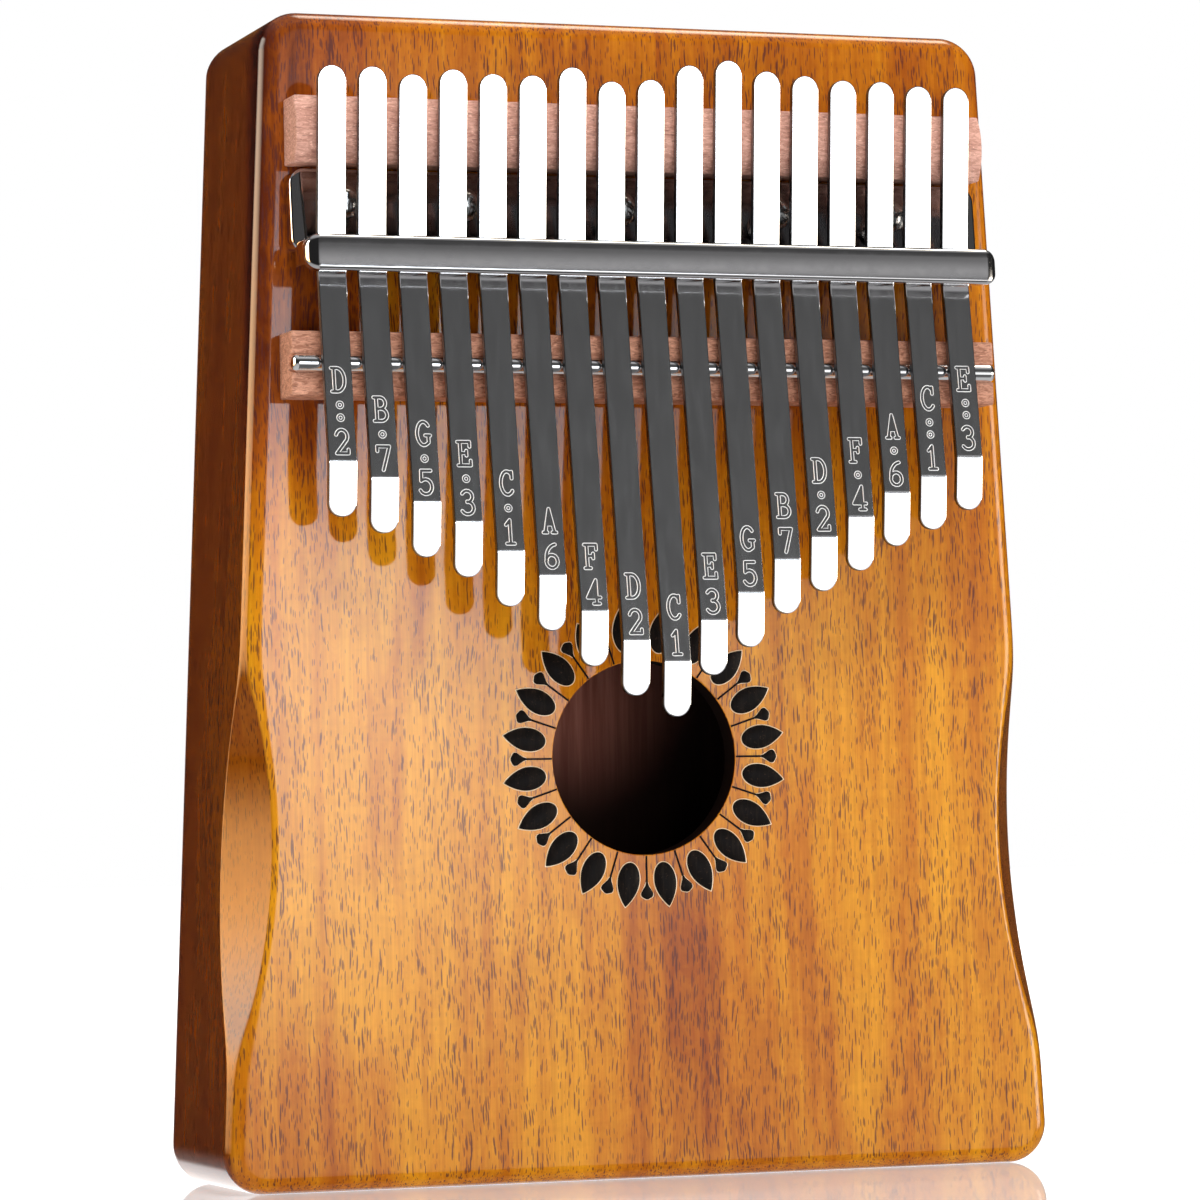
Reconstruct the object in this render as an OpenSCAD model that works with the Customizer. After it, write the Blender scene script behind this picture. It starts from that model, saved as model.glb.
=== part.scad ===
// Seventeen-key box kalimba, a modern mbira. A hollow koa soundbox stands on its bottom end. Steel
// tines lie across two wooden bridges, and a chromed clamp holds them down between the bridges.
// Frame: the origin is the centre of the bottom end face, +Z runs up the body to the tines' rear
// ends, and the front face looks along -Y. "Height" below means the distance in front of that face.

/* [Body] */
// Length of the body, from the bottom end to the top end
body_l = 185; // [183:1:187]
// Width across the bottom end
bottom_w = 140; // [138:1:146]
// Width across the top end
top_w = 122.5; // [121.5:0.5:128]
// Thickness, from the front face to the back face
body_t = 36; // [33:1:40]
// Radius of the body's four corners
corner_r = 6.5; // [5:0.5:9]
// Rounding of the front and back edges
edge_r = 3; // [2:0.5:3.5]
// Thickness of the front wall
front_wall = 5; // [4:0.5:6]
// Thickness of the side walls and the bottom wall
side_wall = 9; // [8.5:0.5:11]
// Height above the bottom end at which the hollow stops and the solid head starts
hollow_top = 116; // [108:1:118]
// Thickness of the back plate
back_t = 3; // [2:0.5:4]
// Solid rim left around the back plate
back_rim = 4; // [3.5:0.5:5]
// Radius of the sound hole
hole_r = 15.5; // [13:0.5:17]
// Height of the sound hole's centre above the bottom end
hole_z = 67; // [62:1:68]

/* [Grips] */
// Height of the middle of each scooped grip above the bottom end
grip_z = 51; // [48:1:56]
// Length of the scoop along the body
grip_l = 68; // [56:1:76]
// Depth of the scoop on the front face
grip_in = 6; // [3:0.5:7]
// Depth of the scoop on the side face
grip_back = 9.5; // [6:0.5:12]

/* [Rosette] */
// Number of leaves, and of buds between them
leaf_count = 20; // [12:1:22]
// Radius at which the leaves start
leaf_in = 17; // [16.5:0.5:18]
// Radius at which the leaves end
leaf_out = 24; // [21:0.5:26]
// Width of a leaf
leaf_w = 3.6; // [2:0.2:4]
// Diameter of a bud
bud_d = 2.3; // [1.5:0.1:2.8]
// Thickness of the inlay's film
film_t = 0.15; // [0.1:0.05:0.3]

/* [Tines] */
// Distance between the centres of two tines
tine_pitch = 6.6; // [6.4:0.1:6.8]
// Width of a tine
tine_w = 4.5; // [4:0.1:4.6]
// Thickness of a tine
tine_t = 1; // [0.8:0.1:1.2]
// Free length of the lowest tine, from the rod to its tip
longest_l = 55.6; // [50:0.2:58]
// Length of the turned-down tip
tip_l = 8.5; // [7:0.5:9]
// Slope at which the tongues rise from the bar to the tip, in degrees
rise_deg = 8; // [6:0.5:9]
// Slope of the turned-down tip, in degrees
tip_deg = 5; // [0:1:8]
// Height above the bottom end of the tines' rear ends
rear_z = 175; // [174:0.5:176]

/* [Bridges] */
// Height above the bottom end of the front bridge and its rod
rod_z = 128.7; // [127:0.1:130]
// Diameter of the steel rod
rod_d = 3; // [2:0.5:3]
// Height of the rod's centre in front of the face
rod_h = 6.6; // [6:0.1:7]
// Width of the front bridge along the body
front_bridge_w = 10.2; // [9:0.1:11]
// Height above the bottom end of the rear bridge
rear_bridge_z = 165.5; // [165:0.1:166]
// Width of the rear bridge along the body
rear_bridge_w = 10.5; // [9:0.1:10.5]
// Height of the rear bridge's rounded top
rear_bridge_h = 7.2; // [7:0.1:7.6]

/* [Clamp] */
// Height above the bottom end of the bar's middle
bar_z = 145.5; // [145:0.1:146]
// Width of the bar along the body
bar_w = 5.8; // [5:0.1:6]
// Depth of the bar, from its rounded underside to its front
bar_depth = 5.2; // [4.5:0.1:6]
// Thickness of the flange
flange_t = 4.2; // [3.5:0.1:4.4]
// Diameter of a clamp screw's head
screw_head_d = 5.2; // [4.6:0.1:5.4]

/* [Hidden] */
TINES = 17;
MIDDLE = 8;                              // index of the lowest tine
FINE = 96;
SCALE = [0, 2, 4, 5, 7, 9, 11];          // semitones of a major scale
end_effect = 4;                          // makes the short tines shorter, as stiff ends do
// How far each tine has been drawn back towards its rear end in tuning
drawn_back = [0, 0, -1, 0, -0.5, -0.5, 1, -1, -0.5, 2, 3, 1.5, 1, 0.5, 0.5, 0, 0];

front_y = -body_t / 2;
back_y = body_t / 2;
side_slope = (bottom_w - top_w) / 2 / body_l;
side_sec = sqrt(1 + side_slope * side_slope);
tilt = atan(side_slope);

glue_gap = 0.1;                          // joint line around the back plate
fit_gap = 0.3;                           // between a tine and what it rests on, over its travel
cut_gap = 0.3;                           // between a tine's shank and its tongue
bar_gap = 0.34;
end_margin = 4;                          // from the bridges' ends to the body's side
metal_half = side_x(rear_bridge_z, end_margin);
front_bridge_half = side_x(rod_z, end_margin + 0.5);
corner_bar_r = 2.2;
flange_corner_r = 2.5;
flange_low_z = bar_z - 2.1;
flange_high_z = rear_bridge_z - rear_bridge_w / 2 - 0.6;
screw_z = (bar_z + bar_w / 2 + flange_high_z) / 2 + 0.4;
screw_gaps = [0, 3, 7, 11, 14];          // the gap after each of these tines holds a screw
screw_dome = 1.3;
screw_d = 2.4;
screw_l = 12;
web_w = 1.3;
web_low_z = bar_z - 1.5;
web_high_z = bar_z + 1.9;

// The line of the tines' underside, as heights in front of the face
rod_line = rod_h + (rod_d / 2 + fit_gap) / cos(rise_deg);
vertex_h = under_front(bar_z);
rear_crown_r = crown_radius(rear_bridge_w, 1.6);
rear_line = rear_bridge_h + 0.03 + fit_gap;
rear_slope = (rear_line - vertex_h) / (rear_bridge_z - bar_z);
bar_h = vertex_h + tine_t + bar_gap;

grip_angle = atan(grip_in / grip_back);
grip_depth = grip_in * grip_back / norm([grip_in, grip_back]);
grip_r = (pow(grip_l / 2, 2) + pow(grip_depth, 2)) / (2 * grip_depth);

function side_x(z, inset) = bottom_w / 2 - side_slope * z - inset * side_sec;
function crown_radius(chord, rise) = (pow(chord / 2, 2) + rise * rise) / (2 * rise);
function under_front(z) = rod_line + tan(rise_deg) * (rod_z - z);
function under_rear(z) = vertex_h + rear_slope * (z - bar_z);
function tine_x(i) = (i - MIDDLE) * tine_pitch;
// The lowest tine is in the middle, and the scale goes up by turns to its left and its right
function scale_step(i) = i < MIDDLE ? 2 * (MIDDLE - i) - 1 : 2 * (i - MIDDLE);
function semitones(step) = 12 * floor(step / 7) + SCALE[step % 7];
// A tine an octave higher is shorter by the square root of two
function free_l(i) = (longest_l + end_effect) * pow(2, -semitones(scale_step(i)) / 24) - end_effect;
function two_digits(n) = n < 10 ? str("0", n) : str(n);
function tine_node(i, part) = str("tine_", two_digits(i + 1), "_", part);

// ---- helpers -------------------------------------------------------------------------------------

// Extrudes an outline drawn in (X, Z) from y_low to y_high
module slab(y_low, y_high) {
    translate([0, y_high, 0])
        rotate([90, 0, 0])
            linear_extrude(y_high - y_low) children();
}

// Extrudes a section drawn in (Z, height) across the body, along X
module across(width) {
    translate([0, front_y, 0])
        rotate([180, -90, 0])
            linear_extrude(width, center = true) children();
}

// Points a shape drawn along +Z straight out of the front face
module on_face(x, z) {
    translate([x, front_y, z]) rotate([90, 0, 0]) children();
}

module rounded_square(low, high, r) {
    size = high - low;
    translate(low + [r, 0]) square([size.x - 2 * r, size.y]);
    translate(low + [0, r]) square([size.x, size.y - 2 * r]);
    for (x = [low.x + r, high.x - r], y = [low.y + r, high.y - r])
        translate([x, y]) circle(r, $fn = FINE);
}

// The body's outline in (X, Z), moved inwards by inset and closed off at z_high
module body_outline(inset, z_high, r) {
    hull() {
        for (z = [inset + r, z_high - r], s = [-1, 1])
            translate([s * side_x(z, inset + r), z]) circle(r, $fn = 32);
    }
}

// ---- soundbox ------------------------------------------------------------------------------------

// A corner of the body: a post along Y with rounded ends
module corner_post(x, z) {
    translate([x, 0, z]) rotate([90, 0, 0])
        for (s = [-1, 1])
            translate([0, 0, s * (body_t / 2 - edge_r)])
                rotate_extrude($fn = 32) {
                    translate([corner_r - edge_r, 0]) circle(edge_r, $fn = 24);
                    translate([0, -edge_r]) square([corner_r - edge_r, 2 * edge_r]);
                }
}

module body_block() {
    hull() {
        for (z = [corner_r, body_l - corner_r], s = [-1, 1])
            corner_post(s * side_x(z, corner_r), z);
    }
}

// Each grip is one broad round cut across the front edge, along the slope of the side
module grip_cut() {
    translate([-side_x(grip_z, 0), front_y, grip_z])
        rotate([0, tilt, 0]) rotate([0, 0, grip_angle])
            translate([grip_depth - grip_r, 0, 0])
                rotate([90, 0, 0]) cylinder(r = grip_r, h = 60, center = true, $fn = 200);
}

module soundbox() {
    color("#b9701f")
    difference() {
        body_block();
        slab(front_y + front_wall, back_y) body_outline(side_wall, hollow_top, 4);
        slab(back_y - back_t, back_y + 1) body_outline(back_rim, body_l - back_rim, 4);
        on_face(0, hole_z)
            translate([0, 0, -front_wall - 1]) cylinder(r = hole_r, h = front_wall + 2, $fn = FINE);
        grip_cut();
        mirror([1, 0, 0]) grip_cut();
        for (i = screw_gaps)
            on_face(tine_x(i + 0.5), screw_z)
                translate([0, 0, -screw_l - 1])
                    cylinder(d = screw_d + 0.1, h = screw_l + 2, $fn = 32);
    }
}

module back_plate() {
    color("#8a4b22")
    slab(back_y - back_t, back_y)
        body_outline(back_rim + glue_gap, body_l - back_rim - glue_gap, 4 - glue_gap);
}

// ---- rosette -------------------------------------------------------------------------------------

// A pointed leaf: two arcs that meet on the leaf's middle line
module leaf() {
    half = (leaf_out - leaf_in) / 2;
    r = crown_radius(2 * half, leaf_w / 2);
    translate([0, leaf_in + half])
        intersection_for(s = [-1, 1])
            translate([s * (r - leaf_w / 2), 0]) circle(r, $fn = FINE);
}

// A round bud on a thin stem that starts at the sound hole's edge
module bud() {
    bud_at = leaf_out - 1.4 - bud_d / 2;
    translate([0, bud_at]) circle(d = bud_d, $fn = 32);
    translate([-0.15, hole_r + 0.2]) square([0.3, bud_at - hole_r - 0.2]);
}

module rosette() {
    color("#15100d")
    on_face(0, hole_z) linear_extrude(film_t)
        for (i = [0 : leaf_count - 1]) rotate(360 / leaf_count * i) {
            bud();
            rotate(180 / leaf_count) leaf();
        }
}

// ---- bridges -------------------------------------------------------------------------------------

module rear_bridge() {
    color("#a5603f")
    across(2 * metal_half)
        intersection() {
            translate([rear_bridge_z - rear_bridge_w / 2, 0]) square([rear_bridge_w, rear_bridge_h]);
            translate([rear_bridge_z, rear_bridge_h - rear_crown_r]) circle(rear_crown_r, $fn = FINE);
        }
}

module front_bridge() {
    color("#b4704a")
    across(2 * front_bridge_half)
        difference() {
            translate([rod_z - front_bridge_w / 2, 0]) square([front_bridge_w, rod_h + 0.2]);
            translate([rod_z, rod_h]) circle(d = rod_d + 0.04, $fn = FINE);
        }
}

module bridge_rod() {
    color("#c9ccd0")
    translate([0, front_y - rod_h, rod_z]) rotate([0, 90, 0]) {
        cylinder(d = rod_d, h = 2 * front_bridge_half - 1.6, center = true, $fn = FINE);
        for (s = [-1, 1])
            translate([0, 0, s * (front_bridge_half - 0.5)])
                cylinder(d = rod_d - 0.8, h = 0.8, center = true, $fn = FINE);
    }
}

// ---- clamp ---------------------------------------------------------------------------------------

module clamp_bar() {
    intersection() {
        across(2 * metal_half) {
            translate([bar_z, bar_h + bar_w / 2]) circle(d = bar_w, $fn = FINE);
            rounded_square([bar_z - bar_w / 2, bar_h + bar_w / 2 - 1.2],
                           [bar_z + bar_w / 2, bar_h + bar_depth], 1);
        }
        slab(front_y - 40, front_y)
            rounded_square([-metal_half, bar_z - bar_w / 2], [metal_half, bar_z + bar_w / 2],
                           corner_bar_r);
    }
}

module clamp_flange() {
    intersection() {
        across(2 * metal_half)
            rounded_square([flange_low_z, -1.2], [flange_high_z, flange_t], 1.2);
        slab(front_y - flange_t, front_y)
            rounded_square([-metal_half, flange_low_z - 4], [metal_half, flange_high_z],
                           flange_corner_r);
    }
}

// One web in every gap between two tines, and one outside the row at each end
module clamp_webs() {
    edge_web_w = metal_half - 0.6 - (tine_x(TINES - 0.5) - (tine_pitch - tine_w) / 2 + 0.3);
    for (i = [0 : TINES - 2])
        translate([tine_x(i + 0.5), 0, 0]) web(web_w);
    for (s = [-1, 1])
        translate([s * (metal_half - 0.6 - edge_web_w / 2), 0, 0]) web(edge_web_w);
}

module web(width) {
    top_h = bar_h + 1.6;
    low_h = flange_t - 0.6;
    translate([-width / 2, front_y - top_h, web_low_z])
        cube([width, top_h - low_h, web_high_z - web_low_z]);
}

module tine_clamp() {
    color("#5d6064")
    difference() {
        union() {
            clamp_flange();
            clamp_webs();
            clamp_bar();
        }
        for (i = screw_gaps)
            on_face(tine_x(i + 0.5), screw_z)
                translate([0, 0, -1]) cylinder(d = screw_d + 0.5, h = flange_t + 2, $fn = 32);
    }
}

// A domed head with a cross recess, on a plain shank
module clamp_screw() {
    dome_r = crown_radius(screw_head_d, screw_dome);
    difference() {
        rotate_extrude($fn = FINE) intersection() {
            translate([0, screw_dome - dome_r]) circle(dome_r, $fn = FINE);
            square([screw_head_d, screw_dome]);
        }
        for (a = [0, 90])
            rotate(a) translate([-1.4, -0.35, screw_dome - 0.7]) cube([2.8, 0.7, 1]);
    }
    translate([0, 0, -screw_l - flange_t]) cylinder(d = screw_d, h = screw_l + flange_t, $fn = 32);
}

module clamp_screws() {
    color("#54575b")
    for (i = screw_gaps)
        on_face(tine_x(i + 0.5), screw_z) translate([0, 0, flange_t]) rotate(20 * i) clamp_screw();
}

// ---- tines ---------------------------------------------------------------------------------------

// A strip of tine i whose side view is the section given as children, with one round end
module tine_strip(i, square_end_z, round_end_z) {
    low_z = min(square_end_z, round_end_z + tine_w / 2);
    high_z = max(square_end_z, round_end_z - tine_w / 2);
    end_side = sign(square_end_z - round_end_z);
    intersection() {
        translate([tine_x(i), 0, 0]) across(tine_w) children();
        slab(front_y - 40, front_y) {
            translate([tine_x(i) - tine_w / 2, low_z]) square([tine_w, high_z - low_z]);
            translate([tine_x(i), round_end_z + end_side * tine_w / 2])
                circle(d = tine_w, $fn = FINE);
        }
    }
}

// From the cut above the rod, down under the bar and up over the rear bridge
module tine_shank(i) {
    start_z = rod_z + cut_gap / 2;
    end_z = rear_z + drawn_back[i];
    under = [[start_z, under_front(start_z)], [bar_z, vertex_h], [end_z, under_rear(end_z)]];
    color("#d9dce0")
    tine_strip(i, start_z, end_z) strip_section(under);
}

// From the cut above the rod to the turned-down tip
module tine_tongue(i) {
    start_z = rod_z - cut_gap / 2;
    end_z = rod_z - free_l(i);
    knee_z = end_z + tip_l;
    tip_h = under_front(knee_z) - tip_l * tan(tip_deg);
    under = [[end_z, tip_h], [knee_z, under_front(knee_z)], [start_z, under_front(start_z)]];
    color("#d9dce0")
    tine_strip(i, start_z, end_z) strip_section(under);
}

// A strip of even thickness on top of a line of (Z, height) points, given from low Z to high Z
module strip_section(under) {
    last = len(under) - 1;
    over = [for (k = [last : -1 : 0]) under[k] + [0, tine_t]];
    polygon(concat(under, over));
}

// ---- nodes ---------------------------------------------------------------------------------------

soundbox();
back_plate();
rosette();
rear_bridge();
tine_clamp();
clamp_screws();
front_bridge();
bridge_rod();
for (i = [0 : TINES - 1]) {
    tine_shank(i);
    tine_tongue(i);
}
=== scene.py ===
"""Looks of a seventeen-key box kalimba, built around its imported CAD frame.

Lengths are in millimetres until a mesh is made. "Height" is the distance in front of the body's front face.
"""

from math import atan, cos, pi, radians, sin, sqrt, tan

import bmesh
import bpy
import numpy as np
from mathutils import Matrix, Vector
from mathutils.geometry import delaunay_2d_cdt


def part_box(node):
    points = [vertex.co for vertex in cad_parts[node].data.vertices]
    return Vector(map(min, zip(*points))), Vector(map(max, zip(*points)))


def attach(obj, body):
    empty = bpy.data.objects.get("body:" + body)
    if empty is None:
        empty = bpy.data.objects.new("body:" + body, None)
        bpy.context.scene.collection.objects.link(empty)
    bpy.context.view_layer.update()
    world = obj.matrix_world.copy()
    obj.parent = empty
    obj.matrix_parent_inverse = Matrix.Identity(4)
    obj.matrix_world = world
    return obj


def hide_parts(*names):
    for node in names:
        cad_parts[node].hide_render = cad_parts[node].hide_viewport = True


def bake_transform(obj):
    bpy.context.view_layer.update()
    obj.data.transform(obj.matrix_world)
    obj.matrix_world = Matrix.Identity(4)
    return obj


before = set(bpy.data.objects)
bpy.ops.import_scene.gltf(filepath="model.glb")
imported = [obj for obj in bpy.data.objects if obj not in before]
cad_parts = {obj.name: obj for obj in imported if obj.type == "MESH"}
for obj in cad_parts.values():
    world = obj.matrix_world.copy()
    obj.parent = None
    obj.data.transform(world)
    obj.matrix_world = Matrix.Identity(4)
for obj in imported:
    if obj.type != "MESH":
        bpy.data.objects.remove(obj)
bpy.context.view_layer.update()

MM = 0.001

# ---- dimensions, as in the CAD source --------------------------------------------------------------

BODY_L = 185.0
BOTTOM_W = 140.0
TOP_W = 122.5
BODY_T = 36.0
CORNER_R = 6.5
EDGE_R = 3.0
FRONT_WALL = 5.0
SIDE_WALL = 9.0
HOLLOW_TOP = 116.0
BACK_T = 3.0
BACK_RIM = 4.0
HOLE_R = 15.5
HOLE_Z = 67.0
GRIP_Z = 51.0
GRIP_L = 68.0
GRIP_IN = 6.0
GRIP_BACK = 9.5
TINES = 17
TINE_W = 4.5
TINE_T = 1.0
TIP_L = 8.5
TONGUE_ANGLE = radians(8)
RISE = tan(TONGUE_ANGLE)
TIP_DROP = tan(radians(5))
FIT_GAP = 0.3
BAR_GAP = 0.34
ROD_Z = 128.7
ROD_H = 6.6
ROD_D = 3.0
ROD_LINE = ROD_H + (ROD_D / 2 + FIT_GAP) / cos(TONGUE_ANGLE)
BAR_Z = 145.5
BAR_W = 5.8
BAR_DEPTH = 5.2
VERTEX_H = ROD_LINE + RISE * (ROD_Z - BAR_Z)
BAR_H = VERTEX_H + TINE_T + BAR_GAP
REAR_BRIDGE_Z = 165.5
REAR_BRIDGE_W = 10.5
REAR_BRIDGE_H = 7.2
REAR_LINE = REAR_BRIDGE_H + 0.03 + FIT_GAP
REAR_SLOPE = (REAR_LINE - VERTEX_H) / (REAR_BRIDGE_Z - BAR_Z)
FLANGE_T = 4.2

FRONT_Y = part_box("soundbox")[0].y / MM
BACK_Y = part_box("soundbox")[1].y / MM
SLOPE = (BOTTOM_W - TOP_W) / 2 / BODY_L
SEC = sqrt(1 + SLOPE * SLOPE)


def side_x(z, inset=0.0):
    return BOTTOM_W / 2 - SLOPE * z - inset * SEC


# ---- mesh helpers ----------------------------------------------------------------------------------

WELD = 0.002


class Builder:
    """Collects vertices in millimetres and faces with material numbers, and makes one welded mesh."""

    def __init__(self):
        self.verts, self.faces, self.slots = [], [], []

    def add(self, verts, faces, slot=0):
        """Adds faces; slot is one material number for them all, or a list with one for each."""
        base = len(self.verts)
        self.verts += [tuple(float(c) for c in v) for v in verts]
        self.faces += [tuple(base + i for i in f) for f in faces]
        self.slots += slot if isinstance(slot, list) else [slot] * len(faces)

    def make(self, name, materials, sharp=35, weighted=True):
        mesh = bpy.data.meshes.new(name)
        mesh.from_pydata([tuple(c * MM for c in v) for v in self.verts], [], self.faces)
        for m in materials:
            mesh.materials.append(m)
        mesh.polygons.foreach_set("material_index", self.slots)
        bm = bmesh.new()
        bm.from_mesh(mesh)
        bmesh.ops.remove_doubles(bm, verts=bm.verts, dist=WELD * MM)
        bmesh.ops.dissolve_degenerate(bm, edges=bm.edges, dist=1e-7)
        bmesh.ops.recalc_face_normals(bm, faces=bm.faces)
        bm.to_mesh(mesh)
        bm.free()
        mesh.polygons.foreach_set("use_smooth", [True] * len(mesh.polygons))
        mesh.set_sharp_from_angle(angle=radians(sharp))
        obj = bpy.data.objects.new(name, mesh)
        bpy.context.scene.collection.objects.link(obj)
        if weighted:
            normal = obj.modifiers.new("normals", "WEIGHTED_NORMAL")
            normal.keep_sharp = True
        return obj


def ring_quads(count, rings):
    """Quads between the rings of a closed path; point j of ring k is number k * count + j."""
    return [
        (k * count + j, k * count + (j + 1) % count, (k + 1) * count + (j + 1) % count, (k + 1) * count + j)
        for k in range(rings - 1)
        for j in range(count)
    ]


def on_front(x, z, h):
    return (x, FRONT_Y - h, z)


def shell(path, profile):
    """Rings of points round a path of (x, z, outward x, outward z), from a profile of (inset, y) points."""
    path = np.asarray(path, float)
    profile = np.asarray(profile, float)
    if profile.ndim == 2:
        profile = np.broadcast_to(profile, (len(path), *profile.shape))
    rings = []
    for k in range(profile.shape[1]):
        inset, y = profile[:, k, 0], profile[:, k, 1]
        rings.append(
            np.stack([path[:, 0] - inset * path[:, 2], y, path[:, 1] - inset * path[:, 3]], 1)
        )
    return rings


def plate(b, path, profile, slot=0):
    """A closed solid with flat ends from a convex path and a profile of (inset, y) points."""
    rings = shell(path, profile)
    n = len(path)
    b.add(np.concatenate(rings), ring_quads(n, len(rings)), slot)
    b.add(rings[0], [tuple(range(n))], slot)
    b.add(rings[-1], [tuple(range(n))], slot)


def rounded_path(points, radius, arc=6):
    """A convex polygon, given anticlockwise, with rounded corners, as (x, z, outward x, outward z) points."""
    pts = [Vector(p) for p in points]
    path = []
    for i, p in enumerate(pts):
        before = (p - pts[i - 1]).normalized()
        after = (pts[(i + 1) % len(pts)] - p).normalized()
        turn = before.angle(after)
        n0 = Vector((before.y, -before.x))
        n1 = Vector((after.y, -after.x))
        centre = p - (n0 + n1) * (radius / (1 + cos(turn)))
        for k in range(arc + 1):
            t = k / arc
            n = (n0 * sin((1 - t) * turn) + n1 * sin(t * turn)).normalized()
            path.append((*(centre + n * radius), n.x, n.y))
    return path


def flat_region(b, outer, holes, y, spacing, slot=0):
    """Triangles between an outer loop and hole loops of (x, z) points, on the plane at y."""
    loops = [np.asarray(outer)[:, :2]] + [np.asarray(h)[:, :2] for h in holes]
    verts, edges = [], []
    for loop in loops:
        base = len(verts)
        verts += [Vector(p) for p in loop]
        edges += [(base + i, base + (i + 1) % len(loop)) for i in range(len(loop))]
    low, high = loops[0].min(0), loops[0].max(0)
    for x in np.arange(low[0] + spacing, high[0] - spacing / 2, spacing):
        for z in np.arange(low[1] + spacing, high[1] - spacing / 2, spacing):
            p = np.array([x, z])
            near = min(np.linalg.norm(loop - p, axis=1).min() for loop in loops)
            if near > spacing * 0.6 and in_loop(p, loops[0]) and not any(in_loop(p, h) for h in loops[1:]):
                verts.append(Vector((x, z)))
    out, _, faces, *_ = delaunay_2d_cdt(verts, edges, [], 1, 1e-6)
    kept = []
    for f in faces:
        c = sum((np.array(out[i]) for i in f), np.zeros(2)) / len(f)
        if in_loop(c, loops[0]) and not any(in_loop(c, h) for h in loops[1:]):
            kept.append(tuple(f))
    b.add([(v.x, y, v.y) for v in out], kept, slot)


def in_loop(p, loop):
    a, c = loop, np.roll(loop, -1, 0)
    cross = (a[:, 1] > p[1]) != (c[:, 1] > p[1])
    with np.errstate(divide="ignore", invalid="ignore"):
        x = a[:, 0] + (p[1] - a[:, 1]) / (c[:, 1] - a[:, 1]) * (c[:, 0] - a[:, 0])
    return bool(np.count_nonzero(cross & (p[0] < x)) % 2)


def sweep(b, section, half, ends):
    """A section of (z, height) points swept along X from -half to half; ends are (distance in, scale)."""
    section = np.asarray(section, float)
    centre = (section.min(0) + section.max(0)) / 2
    stations = [(-half + d, s) for d, s in ends] + [(half - d, s) for d, s in reversed(ends)]
    n = len(section)
    verts = []
    for x, s in stations:
        pts = centre + (section - centre) * np.asarray(s)
        verts += [on_front(x, z, h) for z, h in pts]
    b.add(verts, ring_quads(n, len(stations)))
    b.add(verts[:n], [tuple(range(n))])
    b.add(verts[-n:], [tuple(range(n))])


def round_ends(radius, half_sizes, steps):
    """End stations for sweep() that round an end off with a radius."""
    found = []
    for k in range(steps + 1):
        a = pi / 2 * k / steps
        inset = radius * (1 - sin(a))
        found.append((radius * (1 - cos(a)), tuple(1 - inset / h for h in half_sizes)))
    return found


# ---- node helpers ----------------------------------------------------------------------------------


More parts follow.
